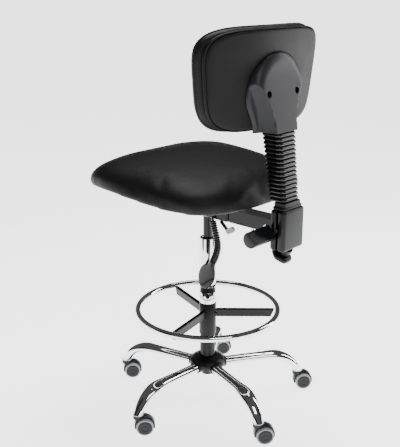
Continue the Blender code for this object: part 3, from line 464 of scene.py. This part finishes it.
def build_casters():
    start, end = math.radians(-15), math.radians(195)
    for k in range(LEGS):
        place = caster_frame(k)
        body = f"caster_{k + 1}"
        half, edge = 0.0125, 0.0016
        section = [(0.0263, -half), (0.0280, -half), (0.0290, -half + 0.0006), (0.0295, -half + edge),
                   (0.0295, half - edge), (0.0290, half - 0.0006), (0.0280, half), (0.0263, half)]
        rings = []
        steps = 56
        for i in range(steps + 1):
            a = start + (end - start) * i / steps
            rings.append([(TRAIL + r * math.cos(a), y, WHEEL_R + r * math.sin(a)) for r, y in section])
        loft(f"hood_arch_{k + 1}", rings, "hood", body, matrix=place, smooth_deg=40,
             replaced=(f"caster_hood_{k + 1}",), slot="dark_plastic")
        outline = arc_ring(0.0290, 0, start, end)
        outline += [(TRAIL + x, 0, WHEEL_R - drop)
                    for x, drop in ((-0.020, 0.012), (0.0, 0.014), (0.020, 0.012))]
        web = [[(x, y, z) for x, _, z in outline] for y in (-0.0085, 0.0085)]
        loft(f"hood_web_{k + 1}", web, "hood", body, matrix=place, slot="dark_plastic")
        boss = [(0.0105, 0.0440), (0.0152, 0.0470), (0.0150, 0.0555), (0.0146, 0.0568), (0.0132, 0.0575),
                (0.0060, 0.0575)]
        lathe(f"stem_boss_{k + 1}", boss, "hood", body, sides=48, matrix=place, slot="dark_plastic")
        lathe(f"stem_{k + 1}", [(0.0055, 0.0560), (0.0055, 0.0700)], "screw", body, sides=24, matrix=place,
              slot="dark_plastic")
        for side, letter in ((1, "a"), (-1, "b")):
            face = Matrix.Diagonal((1, side, 1, 1))
            profile = [(0.0034, 0.0092), (0.0225, 0.0092), (0.0240, 0.0096), (0.0248, 0.0106), (0.0250, 0.0122),
                       (0.0250, 0.0190), (0.0247, 0.0206), (0.0238, 0.0217), (0.0224, 0.0222), (0.0210, 0.0222),
                       (0.0205, 0.0218), (0.0203, 0.0210), (0.0200, 0.0212), (0.0185, 0.0222), (0.0150, 0.0225),
                       (0.0100, 0.0224), (0.0094, 0.0221), (0.0090, 0.0216), (0.0060, 0.0216), (0.0055, 0.0219),
                       (0.0040, 0.0221), (0.0010, 0.0222)]
            bands = [0] + [1] * 10 + [0] * 11
            lathe(f"wheel_{k + 1}{letter}", profile, ["disc", "tread"], f"wheel_{k + 1}{letter}", sides=72,
                  bands=bands, matrix=place @ face @ AXLE, smooth_deg=50,
                  replaced=(f"caster_wheel_{k + 1}{letter}",), slot="caster_tread")


# ---------------------------------------------------------------- column and foot ring

def build_column():
    tube = [(0.0206, 0.1100), (0.0228, 0.1100), (0.0228, 0.3639), (0.0224, 0.3645), (0.0206, 0.3647)]
    lathe("column_tube", tube, "powder", "base", wrap=True, replaced=("lower_column_tube",),
          slot="dark_plastic")
    cylinder = [(0.0202, 0.1400), (0.0202, 0.3650), (0.0238, 0.3650), (0.0245, 0.3657), (0.0245, 0.5178),
                (0.0241, 0.5192), (0.0230, 0.5200), (0.0172, 0.5200), (0.0168, 0.5196), (0.0168, 0.5170),
                (0.0148, 0.5170), (0.0148, 0.4900)]
    lathe("gas_tube", cylinder, "chrome", "base", sides=128, replaced=("gas_cylinder",), slot="chrome",
          smooth_deg=30)
    rod = [(0.0130, 0.1850), (0.0140, 0.1860), (0.0140, 0.6245), (0.0130, 0.6255)]
    lathe("piston", rod, "steel", "lift", sides=64, replaced=("piston_rod",), slot="black_steel")


def build_foot_ring():
    sleeve = [(0.0232, 0.2140), (0.0247, 0.2140), (0.0255, 0.2148), (0.0255, 0.3142), (0.0249, 0.3150),
              (0.0232, 0.3150)]
    lathe("ring_sleeve", sleeve, "powder", "foot_ring", wrap=True, replaced=("foot_ring_sleeve",),
          slot="dark_plastic")
    sides = 95
    open_turn = math.radians(2.6)
    first = math.radians(42) + open_turn / 2
    section = [(0.0232, 0.3153), (0.0236, 0.3153), (0.0240, 0.3158), (0.0240, 0.3484), (0.0236, 0.3490),
               (0.0232, 0.3490)]
    rings = []
    for i in range(sides + 1):
        a = first + (2 * math.pi - open_turn) * i / sides
        rings.append([(r * math.cos(a), r * math.sin(a), z) for r, z in section])
    loft("ring_collar", rings, "chrome", "foot_ring", replaced=("foot_ring_collar",), slot="chrome")
    hoop = []
    for i in range(160):
        a = 2 * math.pi * i / 160
        hoop.append([((RING_R + x) * math.cos(a), (RING_R + x) * math.sin(a), 0.2930 + y)
                     for x, y, _ in circle(RING_TUBE_R, 0, 32)])
    loft("ring_hoop", hoop, "chrome", "foot_ring", wrap=True, smooth_deg=60, replaced=("foot_ring_hoop",),
         slot="chrome")
    for k, degrees in enumerate((131.9, -108.1, 11.9)):
        outline = [(0.0065, 0.2685), (0.0065, 0.2925), (-0.0065, 0.2925), (-0.0065, 0.2685)]
        near = [(0.0256, y, z) for y, z in outline]
        far = [(RING_R - RING_TUBE_R - GAP - 0.0120 * (0.2940 - z) / 0.030, y, z) for y, z in outline]
        loft(f"ring_arm_{k + 1}", [near, far], "powder", "foot_ring", bevel=0.0020,
             matrix=turn_z(math.radians(degrees)), replaced=(f"foot_ring_arm_{k + 1}",), slot="dark_plastic")


# ---------------------------------------------------------------- seat

SEAT_FRAME = Matrix.Translation((0, 0, 0.6963)) @ Matrix.Rotation(-math.radians(4.8), 4, "X")


def front_drop(front):
    """How far the seat's waterfall edge has fallen, from the share of the way to the front."""
    over = max(0.0, (front - SEAT_FRONT_START) / (1 - SEAT_FRONT_START))
    return SEAT_FRONT_DROP * over * over


def seat_ring(scale, z, crown=0.0, sides=96):
    points = []
    for x, y in superellipse(SEAT_POWER, sides):
        wide = SEAT_HALF_W * scale * x * (1 + SEAT_FLARE * -y)
        height = z + crown * (1 - scale * scale) - front_drop(-y * scale)
        points.append((wide, SEAT_MID_Y + SEAT_HALF_D * scale * y, height))
    return points


def cloth_swell(made, held, pressure, size):
    """Lets a padded shape swell as sewn cloth over foam, held where the test is true."""
    bpy.context.view_layer.objects.active = made
    remesh = made.modifiers.new("remesh", "REMESH")
    remesh.mode = "VOXEL"
    remesh.voxel_size = size
    bpy.ops.object.modifier_apply(modifier="remesh")
    group = made.vertex_groups.new(name="held")
    group.add([v.index for v in made.data.vertices if held(v.co - COLUMN)], 1.0, "REPLACE")
    cloth = made.modifiers.new("cloth", "CLOTH")
    settings = cloth.settings
    settings.quality = 5
    settings.mass = 0.4
    settings.tension_stiffness = 18
    settings.compression_stiffness = 18
    settings.shear_stiffness = 8
    settings.bending_stiffness = 8.0
    settings.use_pressure = True
    settings.uniform_pressure_force = pressure
    settings.vertex_group_mass = "held"
    settings.effector_weights.gravity = 0
    cloth.point_cache.frame_start = 1
    cloth.point_cache.frame_end = CLOTH_FRAMES
    scene = bpy.context.scene
    for number in range(1, CLOTH_FRAMES + 1):
        scene.frame_set(number)
    bpy.ops.object.modifier_apply(modifier="cloth")
    scene.frame_set(1)
    finer = made.modifiers.new("finer", "SUBSURF")
    finer.levels = finer.render_levels = 1
    bpy.ops.object.modifier_apply(modifier="finer")
    made.data.shade_smooth()


def ease_out(made, passes):
    """Takes the remesh steps out of the surface."""
    bpy.context.view_layer.objects.active = made
    soft = made.modifiers.new("soft", "SMOOTH")
    soft.factor = 0.5
    soft.iterations = passes
    bpy.ops.object.modifier_apply(modifier="soft")


def build_seat():
    rings = [seat_ring(s, -0.0226) for s in (0.2, 0.6, 0.90)]
    rings += [seat_ring(s, z, c) for s, z, c in (
        (0.940, -0.0262, 0.0), (0.968, -0.0250, 0.0), (0.985, -0.0190, 0.002), (0.992, -0.0090, 0.004),
        (0.988, 0.0020, 0.008), (0.975, 0.0090, 0.012), (0.950, 0.0160, 0.016), (0.910, 0.0225, 0.019),
        (0.84, 0.0275, 0.020), (0.70, 0.0315, 0.0205), (0.45, 0.0335, 0.0205), (0.20, 0.0340, 0.0205))]
    cushion = loft("seat_pad", rings, "leather", "seat", matrix=SEAT_FRAME,
                   replaced=("seat_cushion", "seat_board"), slot="black_leatherette")
    to_seat = SEAT_FRAME.inverted()

    def held(point):
        local = to_seat @ point
        height = local.z + front_drop(-(local.y - SEAT_MID_Y) / SEAT_HALF_D)
        return height < -0.0170 and outline_share(local) < 0.95

    cloth_swell(cushion, held, pressure=4.0, size=0.0060)
    ease_out(cushion, passes=70)
    cloth = [seat_ring(s, -0.0230 - GAP) for s in (0.20, 0.60, 0.885, 0.890)]
    cloth += [seat_ring(s, -0.0220) for s in (0.890, 0.60, 0.20)]
    # The underside takes the darker leatherette copy, whose extra darkness is painted shade.
    loft("seat_underside", cloth, "panel", "seat", matrix=SEAT_FRAME, slot="black_leatherette")
    dress("seat_mechanism", "steel", 0.0010)
    dress("back_bar", "steel", 0.0015)
    dress("bar_lock_screw", "rod")
    clip, clip_r = [], 0.0080
    for x, inset in ((0.0370, 0.0012), (0.0382, 0.0), (0.0458, 0.0), (0.0470, 0.0012)):
        ring = []
        for centre, first in (((0.1150, 0.5720), 125.0), ((0.1270, 0.5790), -55.0)):
            for step in range(17):
                a = math.radians(first + 180 * step / 16)
                ring.append((x, centre[0] + (clip_r - inset) * math.cos(a),
                             centre[1] + (clip_r - inset) * math.sin(a)))
        clip.append(ring)
    loft("lock_clip", clip, "tread", "seat", replaced=("bar_lock_clip",), slot="pale_plastic")


def outline_share(local):
    """How far out a point is, as a share of the seat's outline."""
    front = -(local.y - SEAT_MID_Y) / SEAT_HALF_D
    wide = local.x / (SEAT_HALF_W * (1 + SEAT_FLARE * front))
    return (abs(wide) ** SEAT_POWER + abs(front) ** SEAT_POWER) ** (1 / SEAT_POWER)


# ---------------------------------------------------------------- lift lever

def build_lever():
    bends = ((0.0480, 0.6000), (0.0560, 0.5700), (0.0670, 0.5350), (0.0690, 0.5100), (0.0620, 0.4850),
             (0.0530, 0.4660))
    route = [Vector((0.0360, y, z)) for y, z in bends]
    path = smooth(route, 241)[24:]
    loft("lever_gaiter", sweep(path, lambda i: 0.0092 + 0.0013 * math.sin(i * 2 * math.pi / 9.0), 28), "rubber",
         "lift_lever", replaced=("lift_lever_sleeve",), slot="black_rubber", smooth_deg=80)
    dress("lift_lever_rod", "steel")
    top = path[-1] + 0.0006 * (path[-1] - path[-2]).normalized()
    tip = Vector((0.0360, 0.0068, 0.3740))
    along = (tip - top).normalized()
    across = along.cross(Vector((1, 0, 0))).normalized()
    stations = [Vector(s) for s in ((0.0, 0.0098, 0.0094), (0.05, 0.0104, 0.0094), (0.14, 0.0128, 0.0084),
                                    (0.30, 0.0238, 0.0067), (0.50, 0.0298, 0.0057), (0.72, 0.0268, 0.0049),
                                    (0.90, 0.0163, 0.0044), (0.98, 0.0072, 0.0032), (1.0, 0.0024, 0.0015))]
    rings = []
    for share, half_w, half_t in smooth(stations, 60):
        centre = top + along * ((tip - top).length * share)
        rings.append([tuple(centre + half_w * math.cos(2 * math.pi * i / 40) * across
                            + half_t * math.sin(2 * math.pi * i / 40) * Vector((1, 0, 0))) for i in range(40)])
    loft("lever_paddle", rings, "gloss", "lift_lever", replaced=("lift_lever_grip",), slot="gloss_plastic",
         smooth_deg=60)


# ---------------------------------------------------------------- back bracket

def lean_y(z):
    return 0.2727 + LEAN * (z - 0.6600)


def build_bracket():
    soft_box("box_front", (-0.0460, 0.2570, 0.5530), (0.0460, 0.2796, 0.6650), 0.0100, 0.0080, "black",
             "bracket", replaced=("bracket_cover_front",), slot="dark_plastic")
    soft_box("box_rear", (-0.0460, 0.2803, 0.5530), (0.0460, 0.3050, 0.6650), 0.0100, 0.0080, "black",
             "bracket", replaced=("bracket_cover_rear",), slot="dark_plastic")
    # The core shows only through the seam between the two box halves; its near-black colour is painted shade in
    # that seam.
    soft_box("box_core", (-0.0430, 0.2650, 0.5560), (0.0430, 0.2950, 0.6620), 0.0050, 0.0040, "hole",
             "bracket", slot="dark_plastic")
    rings = []
    for half_x, half_y, z in ((0.0385, 0.0185, 0.6653), (0.0400, 0.0200, 0.6662), (0.0400, 0.0200, 0.6706),
                              (0.0392, 0.0192, 0.6718), (0.0370, 0.0184, 0.6722), (0.0365, 0.0180, 0.6740),
                              (0.0365, 0.0180, 0.6820), (0.0355, 0.0170, 0.6830)):
        rings.append([(x, 0.2800 + y, z) for x, y in rounded(half_x, half_y, 0.006)])
    loft("neck_collar", rings, "black", "bracket", replaced=("bellows_neck",), slot="dark_plastic")
    dress("back_pivot_pin", "screw")
    dress("back_upright", "steel")
    build_bellows()
    build_handle()
    build_knob()


def build_bellows():
    """Moulded rubber sleeve with soft ribs, leaning with the post."""
    low, high, ribs, rib_depth = 0.6834, 0.8630, 16, 0.0058
    rings = []
    levels = ribs * 12
    for level in range(levels + 1):
        share = level / levels
        z = low + (high - low) * share
        inset = rib_depth * (1 - abs(math.sin(math.pi * ribs * share)) ** 0.75)
        half_x, half_y = 0.0369 + 0.0040 * share - inset, 0.0259 + 0.0045 * share - inset
        rings.append([(x, lean_y(z) + y, z) for x, y in rounded(half_x, half_y, 0.0140 - inset, 10)])
    sleeve = loft("bellows_sleeve", rings, "rubber", None, smooth_deg=60, replaced=("back_bellows",),
                  slot="black_rubber")
    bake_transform(sleeve)


def build_handle():
    """D-section grip bar with its flat side up and back."""
    cy, cz, reach, flat = 0.2655, 0.6035, 0.0215, 0.0080
    lean = math.radians(45.0)
    half_open = math.acos(flat / reach)
    rings = []
    for x, shrink in ((0.0472, 0.0015), (0.0480, 0.0003), (0.0490, 0.0), (0.1365, 0.0), (0.1382, 0.0006),
                      (0.1390, 0.0022)):
        ring = []
        for step in range(49):
            a = lean + half_open + (2 * math.pi - 2 * half_open) * step / 48
            ring.append((x, cy + (reach - shrink) * math.cos(a), cz + (reach - shrink) * math.sin(a)))
        rings.append(ring)
    loft("grip_bar", rings, "black", "tilt_handle", replaced=("tilt_handle",), slot="dark_plastic",
         smooth_deg=30, bevel=0.0008)
    across = Matrix.Translation((0, cy, cz)) @ Matrix.Rotation(math.radians(90), 4, "Y")
    lathe("grip_shaft", [(0.0050, 0.030), (0.0050, 0.049)], "steel", "tilt_handle", sides=32, matrix=across,
          slot="dark_plastic")
    for number in (1, 2):
        dress(f"handle_screw_{number}", "screw", 0.0004)


def build_knob():
    tilt = math.radians(34.0)
    place = Matrix.Translation((0, 0.2830, 0.5530)) @ Matrix.Rotation(-tilt, 4, "X")
    boss = [(0.0050, 0.0020), (0.0175, 0.0020), (0.0175, -0.0152), (0.0168, -0.0166), (0.0155, -0.0170),
            (0.0050, -0.0170)]
    lathe("knob_collar", boss, "black", "bracket", wrap=True, matrix=place, replaced=("knob_boss",),
          slot="dark_plastic")
    rings, drop = [], 0.0285
    for radius, z, lobes in ((0.0150, 0.0075, 0.0), (0.0200, 0.0073, 0.3), (0.0260, 0.0066, 1.0),
                             (0.0282, 0.0048, 1.0), (0.0290, 0.0020, 1.0), (0.0290, -0.0020, 1.0),
                             (0.0282, -0.0048, 1.0), (0.0260, -0.0066, 1.0), (0.0200, -0.0074, 0.3),
                             (0.0120, -0.0075, 0.0)):
        ring = []
        for i in range(144):
            a = 2 * math.pi * i / 144
            out = radius * (1 - lobes * 0.035 * (1 - math.cos(6 * a)))
            ring.append((out * math.cos(a), out * math.sin(a), z - drop))
        rings.append(ring)
    loft("knob_wheel", rings, "black", "tension_knob", matrix=place, replaced=("tension_knob",),
         slot="dark_plastic")


# ---------------------------------------------------------------- backrest

def back_point(x, up, behind):
    return (x, BACK_Y + up * math.sin(RECLINE) + behind * math.cos(RECLINE) - BACK_CURVE * x * x,
            BACK_MID_Z + up * math.cos(RECLINE) - behind * math.sin(RECLINE))


def back_ring(scale, behind, sides=112):
    points = []
    for x, y in superellipse(BACK_POWER, sides):
        wide = (BACK_HALF_W + BACK_FLARE * y * scale) * scale * x
        points.append(back_point(wide, BACK_HALF_H * scale * y, behind))
    return points


def panel_y(x, z):
    return BACK_Y + (z - BACK_MID_Z) * math.tan(RECLINE) - BACK_CURVE * x * x


def build_backrest():
    near, far = -0.0132, -0.0590
    rings = [back_ring(s, near) for s in (0.1, 0.35, 0.6, 0.93)]
    rings += [back_ring(s, d) for s, d in (
        (0.980, near - 0.002), (0.992, near - 0.010), (0.993, near - 0.020), (0.980, far + 0.016),
        (0.945, far + 0.007), (0.88, far + 0.002), (0.60, far), (0.35, far), (0.1, far))]
    cushion = loft("back_pad", rings, "leather", "backrest", replaced=("back_cushion",),
                   slot="black_leatherette")

    def held(point):
        behind = point.y - panel_y(point.x, point.z)
        return behind > -0.0150 or abs(behind + 0.0340) < 0.0026 and back_share(point) > 0.93

    cloth_swell(cushion, held, pressure=3.0, size=0.0055)
    ease_out(cushion, passes=12)
    welt = [Vector(p) for p in back_ring(0.992, -0.0330, 260)]
    loft("back_welt", closed_sweep(welt, 0.0022), "piping", "backrest", wrap=True, slot="black_leatherette")
    skin = [back_ring(s, d) for s, d in (
        (0.1, -0.012), (0.6, -0.012), (0.955, -0.0120), (0.972, -0.0108), (0.976, -0.0080), (0.973, -0.0052),
        (0.966, -0.0034), (0.958, -0.0034), (0.953, -0.0052), (0.950, -0.0066), (0.947, -0.0048),
        (0.940, -0.0018), (0.925, -0.0004), (0.89, 0.0), (0.60, 0.0), (0.35, 0.0), (0.1, 0.0))]
    # The rear skin takes the darker leatherette copy, whose extra darkness is painted shade.
    loft("rear_skin", skin, "panel", "backrest", replaced=("back_panel",), slot="black_leatherette",
         smooth_deg=80)
    build_cover()


def back_share(point):
    up = (point.z - BACK_MID_Z) / BACK_HALF_H
    wide = point.x / (BACK_HALF_W + BACK_FLARE * up)
    return (abs(wide) ** BACK_POWER + abs(up) ** BACK_POWER) ** (1 / BACK_POWER)


def cover_half(z):
    """Half width of the cover's outline."""
    if z >= COVER_CENTRE_Z:
        return math.sqrt(max(0.0, COVER_R ** 2 - (z - COVER_CENTRE_Z) ** 2))
    share = (COVER_CENTRE_Z - z) / (COVER_CENTRE_Z - COVER_Z[0])
    return COVER_R + (COVER_NECK_HALF - COVER_R) * ease(share)


def cover_y(x, z):
    """Y of the cover's rear surface: a domed top that becomes a raised tongue with a scoop on each side."""
    base = panel_y(x, z) + 0.0012
    rise = 0.2710 - 0.19 * (z - COVER_Z[0]) - panel_y(0, z)
    top = panel_y(0, z) + math.hypot(max(rise, 0.0), 0.0140)
    if z >= COVER_CENTRE_Z:
        inside = COVER_R - math.hypot(x, z - COVER_CENTRE_Z)
    else:
        inside = cover_half(z) - abs(x)
    shoulder = math.sqrt(max(0.0, 1 - (1 - max(0.0, min(1.0, inside / 0.0300))) ** 2.3))
    edge = 0.0440 + 0.0500 * (max(0.0, z - COVER_Z[0]) / 0.1300) ** 1.8
    fall = max(0.0, min(1.0, (abs(x) - edge) / 0.0220))
    drop = (1 - (1 - fall) ** 3) * ease((0.9980 - z) / 0.0220)
    skirt = 0.16 * math.sqrt(max(0.0, 1 - (1 - max(0.0, min(1.0, inside / 0.0100))) ** 2))
    return base + (top - base) * (shoulder * (1 - drop) + skirt * drop)


def build_cover():
    points, faces = [], []
    rows, columns = 120, 96
    grid = []
    for row in range(rows + 1):
        v = row / rows
        z = COVER_Z[0] + (COVER_Z[1] - COVER_Z[0]) * math.sin(v * math.pi / 2)
        half = cover_half(z)
        line = []
        for column in range(columns + 1):
            u = math.sin((2 * column / columns - 1) * math.pi / 2)
            x = half * u
            line.append(len(points))
            points.append((x, cover_y(x, z), z))
        back = []
        for column in range(columns + 1):
            x = half * (1 - 2 * column / columns)
            back.append(len(points))
            points.append((x, panel_y(x, z) + 0.0010, z))
        grid.append(line + back)
    count = len(grid[0])
    for row in range(rows):
        for i in range(count):
            after = (i + 1) % count
            faces.append((grid[row][i], grid[row][after], grid[row + 1][after], grid[row + 1][i]))
    faces.append(tuple(reversed(grid[0])))
    piece("cover_shell", points, faces, "plastic", "backrest", replaced=("back_cover",), slot="dark_plastic",
          smooth_deg=60)
    # Painted shade: thin near-black discs on the cover stand in for the shade inside its two screw holes.
    pit = [(0.0086, 0.0002), (0.0082, 0.0005), (0.0072, 0.0002), (0.0010, 0.0001)]
    slope = math.atan(-LEAN)
    for number, x in enumerate((COVER_SCREW_X, -COVER_SCREW_X)):
        centre = (x, cover_y(x, COVER_SCREW_Z), COVER_SCREW_Z)
        place = Matrix.Translation(centre) @ Matrix.Rotation(math.radians(-90) + slope, 4, "X")
        lathe(f"screw_hole_shade_{number + 1}", pit, "hole", "backrest", sides=40, matrix=place, slot="dark_plastic")


# ---------------------------------------------------------------- stage

def build_floor():
    mesh = bpy.data.meshes.new("floor")
    half = FLOOR_SHARE * TENT_R / 2
    corners = [(-half, -half, 0), (half, -half, 0), (half, half, 0), (-half, half, 0)]
    mesh.from_pydata(corners, [], [(0, 1, 2, 3)])
    made = bpy.data.objects.new("floor", mesh)
    bpy.context.scene.collection.objects.link(made)
    paint, _, shader = node_material("floor_paint", (0.90, 0.90, 0.90), 0.9, specular=0.1)
    shader.inputs["Emission Color"].default_value = (1.0, 1.0, 1.0, 1.0)
    shader.inputs["Emission Strength"].default_value = FLOOR_GLOW
    mesh.materials.append(paint)


def area(name, size, location, target, power):
    data = bpy.data.lights.new(name, "AREA")
    data.shape = "RECTANGLE"
    data.size, data.size_y = size
    data.energy = power
    made = bpy.data.objects.new(name, data)
    bpy.context.scene.collection.objects.link(made)
    made.location = location
    made.rotation_euler = (Vector(target) - Vector(location)).to_track_quat("-Z", "Y").to_euler()


def dark_surround(name, points, faces, glow=0.0):
    """A dark surface that polished pieces mirror and that the camera doesn't see."""
    mesh = bpy.data.meshes.new(name)
    mesh.from_pydata(points, [], faces)
    made = bpy.data.objects.new(name, mesh)
    bpy.context.scene.collection.objects.link(made)
    made.visible_camera = False
    paint, _, shader = node_material(name + "_cloth", (0.01, 0.01, 0.01), 0.9, specular=0.0)
    shader.inputs["Emission Color"].default_value = (1.0, 1.0, 1.0, 1.0)
    shader.inputs["Emission Strength"].default_value = glow
    mesh.materials.append(paint)
    return made


def build_tent():
    """A dark dome over the floor; the pale backdrop lies outside it."""
    rings = []
    for step in range(13):
        rise = math.pi / 2 * step / 12
        rings.append(circle(max(TENT_R * math.cos(rise), 0.01), TENT_R * math.sin(rise), 48))
    points = [p for ring in rings for p in ring]
    dark_surround("tent", points, ring_faces(len(rings), 48, (False, True)), TENT_GLOW)


def card(name, size, location, target):
    """A flat dark panel facing the object."""
    wide, high = size[0] / 2, size[1] / 2
    corners = [(-wide, -high, 0), (wide, -high, 0), (wide, high, 0), (-wide, high, 0)]
    made = dark_surround(name, corners, [(0, 1, 2, 3)])
    made.location = location
    made.rotation_euler = (Vector(target) - Vector(location)).to_track_quat("Z", "Y").to_euler()


def build_stage():
    build_floor()
    world = bpy.data.worlds.new("studio")
    bpy.context.scene.world = world
    world.use_nodes = True
    background = world.node_tree.nodes["Background"]
    background.inputs["Color"].default_value = (1.0, 1.0, 1.0, 1.0)
    background.inputs["Strength"].default_value = BACKDROP_LIGHT
    area("key", (1.8, 1.4), (1.2, 2.6, 2.8), (0, 0, 0.6), 36)
    area("top", (1.6, 1.6), (-0.6, -0.4, 3.2), (0, 0, 0.5), 80)
    area("rim", (0.5, 2.2), (-2.2, 1.2, 1.3), (0, 0, 0.7), 34)
    build_tent()
    card("card_low_front", (3.0, 0.9), (2.3, 2.1, 0.42), (0, 0, 0.30))
    card("card_left", (1.4, 2.6), (2.4, -1.2, 1.2), (0, 0, 0.5))
    card("card_right", (1.0, 2.2), (-1.5, 2.5, 1.0), (0, 0, 0.5))
    camera_data = bpy.data.cameras.new("camera")
    camera = bpy.data.objects.new("camera", camera_data)
    bpy.context.scene.collection.objects.link(camera)
    camera_data.lens = 61.71
    camera_data.sensor_width = 36.0
    camera_data.clip_end = 1000.0
    camera.location = CAMERA_PLACE + COLUMN
    level = math.cos(CAMERA_PITCH)
    ahead = Vector((CAMERA_HEADING[0] * level, CAMERA_HEADING[1] * level, -math.sin(CAMERA_PITCH)))
    camera.rotation_euler = ahead.to_track_quat("-Z", "Y").to_euler()
    bpy.context.scene.camera = camera


build_base()
build_casters()
build_column()
build_foot_ring()
build_seat()
build_lever()
build_bracket()
build_backrest()
build_stage()

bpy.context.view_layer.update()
